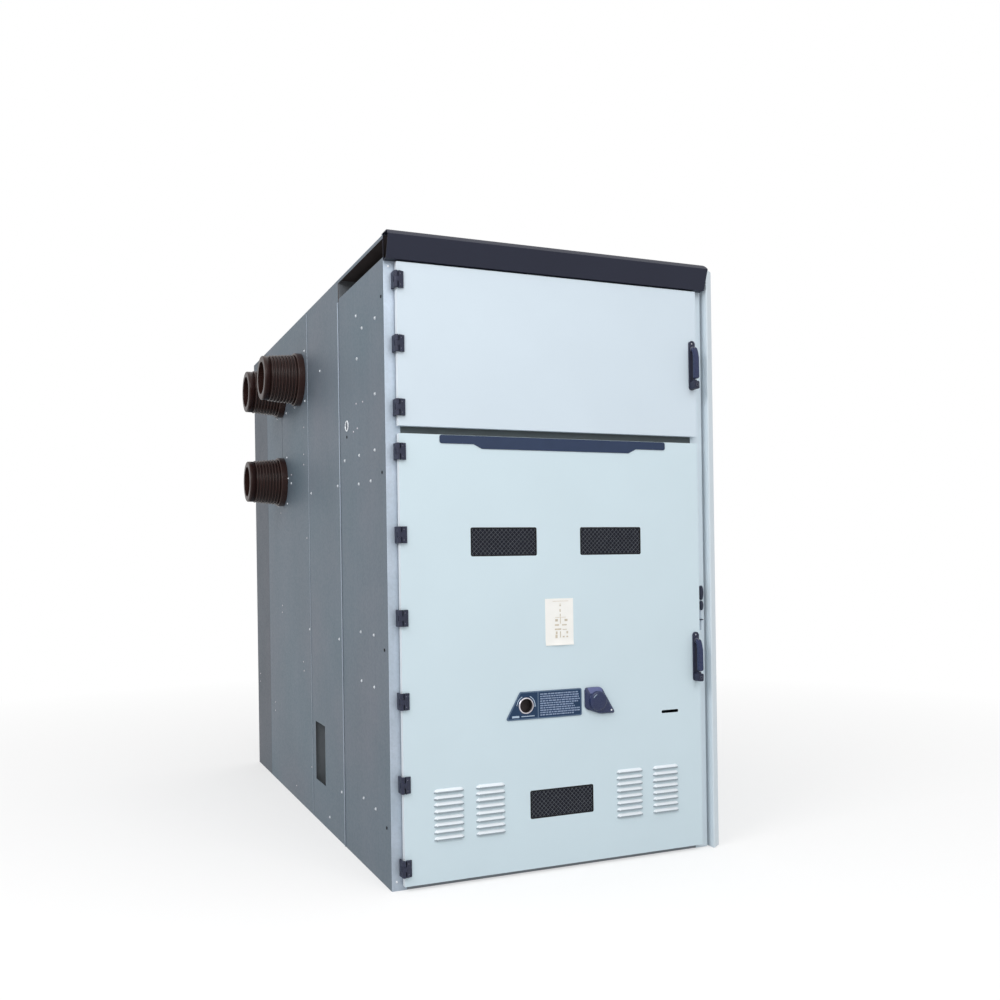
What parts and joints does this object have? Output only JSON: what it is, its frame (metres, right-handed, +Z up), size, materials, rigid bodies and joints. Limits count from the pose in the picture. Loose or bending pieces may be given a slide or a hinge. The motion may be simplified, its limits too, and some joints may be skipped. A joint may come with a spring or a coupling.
{
  "type": "metal-clad withdrawable switchgear panel",
  "caption": "Free-standing metal-clad switchgear cabinet with two hinged front doors, lift-and-turn handles, louvres, viewing windows and ribbed through-wall bushings on its left side.",
  "frame": {"origin": "on the floor at the middle of the cabinet body's footprint (end panel and bushings not counted)", "axes": "+X to the right seen from the front, +Y to the rear (the doors face -Y), +Z up"},
  "size_m": [1.758, 2.875, 2.6],
  "materials": {
    "galvanised_sheet": "aluminium-zinc coated sheet steel, dull",
    "post_sheet": "aluminium-zinc coated sheet steel, bright",
    "door_paint": "pale blue-grey powder coat, satin",
    "header_paint": "dark navy powder coat",
    "hinge_casting": "die-cast zinc, dark coated",
    "bright_steel": "turned steel",
    "epoxy": "cast epoxy resin, dark brown-red",
    "decal": "printed plastic plate, blue",
    "black_moulding": "moulded plastic, near black",
    "window_glass": "dark glass with a wire mesh behind",
    "paper": "printed sheet"
  },
  "bodies": {
    "cabinet": {"base_frame": "galvanised_sheet", "floor_plates": "galvanised_sheet", "left_front_wall": "post_sheet", "left_middle_wall": "galvanised_sheet", "left_rear_wall": "galvanised_sheet", "left_end_wall": "galvanised_sheet", "right_wall": "galvanised_sheet", "end_panel": "door_paint", "mid_rail": "galvanised_sheet", "top_rail": "galvanised_sheet", "header": "header_paint", "duct_floor": "galvanised_sheet", "roof_front": "post_sheet", "roof_middle": "galvanised_sheet", "roof_rear": "galvanised_sheet", "relief_flaps": "galvanised_sheet", "shelf": "galvanised_sheet", "instrument_back": "galvanised_sheet", "truck_partition": "galvanised_sheet", "rear_cover_upper": "galvanised_sheet", "rear_cover_lower": "galvanised_sheet", "bushing_front": "epoxy", "bushing_rear": "epoxy", "bushing_low": "epoxy", "instrument_hinge_frames": "hinge_casting", "breaker_hinge_frames": "hinge_casting", "latch_keeper": "hinge_casting"},
    "instrument_door": {"instrument_door": "door_paint", "instrument_hinge_leaves": "hinge_casting", "instrument_handle_base": "hinge_casting"},
    "instrument_hub": {"instrument_handle_hub": "hinge_casting"},
    "instrument_lever": {"instrument_handle_lever": "hinge_casting"},
    "breaker_door": {"breaker_door": "door_paint", "breaker_hinge_leaves": "hinge_casting", "breaker_handle_base": "hinge_casting", "title_strip": "header_paint", "window_panes": "window_glass", "operating_plate": "decal", "racking_sleeve": "bright_steel", "trip_cover": "black_moulding", "diagram_sheet": "paper"},
    "breaker_hub": {"breaker_handle_hub": "hinge_casting"},
    "breaker_lever": {"breaker_handle_lever": "hinge_casting"}
  },
  "joints": [
    {"name": "instrument_door_swing", "type": "hinge", "parent": "cabinet", "child": "instrument_door", "pos_m": [-0.705, -1.438, 2.1625], "axis": [0, 0, -1], "range_deg": [0, 120]},
    {"name": "instrument_handle_turn", "type": "hinge", "parent": "instrument_door", "child": "instrument_hub", "pos_m": [0.675, -1.4385, 2.225], "axis": [0, 1, 0], "range_deg": [0, 90]},
    {"name": "instrument_lever_lift", "type": "hinge", "parent": "instrument_hub", "child": "instrument_lever", "pos_m": [0.675, -1.4525, 2.225], "axis": [-1, 0, 0], "range_deg": [0, 40]},
    {"name": "breaker_door_swing", "type": "hinge", "parent": "cabinet", "child": "breaker_door", "pos_m": [-0.705, -1.438, 0.915], "axis": [0, 0, -1], "range_deg": [0, 120]},
    {"name": "breaker_handle_turn", "type": "hinge", "parent": "breaker_door", "child": "breaker_hub", "pos_m": [0.675, -1.4385, 0.932], "axis": [0, 1, 0], "range_deg": [0, 90]},
    {"name": "breaker_lever_lift", "type": "hinge", "parent": "breaker_hub", "child": "breaker_lever", "pos_m": [0.675, -1.4525, 0.932], "axis": [-1, 0, 0], "range_deg": [0, 40]}
  ]
}
